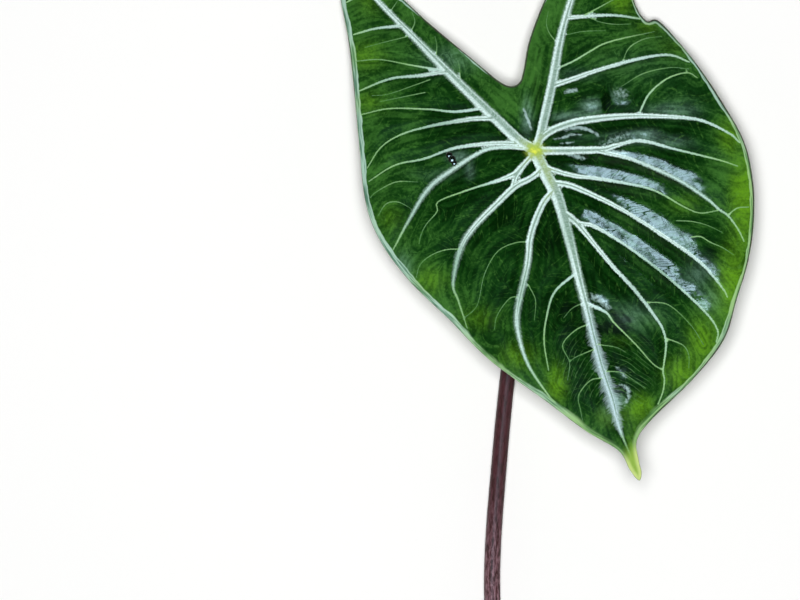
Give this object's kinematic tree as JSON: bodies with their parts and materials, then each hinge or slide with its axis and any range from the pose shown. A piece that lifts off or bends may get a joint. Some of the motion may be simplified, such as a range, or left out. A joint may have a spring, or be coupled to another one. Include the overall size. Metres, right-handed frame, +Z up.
{
  "type": "elephant ear leaf",
  "caption": "Arrow-shaped glossy leaf with silvery raised ribs, basal lobes, a drip tip and its cut stalk, laid face up.",
  "frame": {"origin": "middle of the leaf's footprint, on the surface that it rests on", "axes": "+Z up out of the leaf's upper side, +Y from the stalk's cut end towards the two basal lobes, +X across the blade"},
  "size_m": [0.209, 0.4174, 0.0562],
  "materials": {
    "leaf_green": "glossy waxy leaf skin, silver ribs",
    "stalk_mauve": "satin leaf stalk with dark mottling"
  },
  "bodies": {
    "root": {"leaf_blade": "leaf_green", "petiole": "stalk_mauve"}
  },
  "joints": []
}
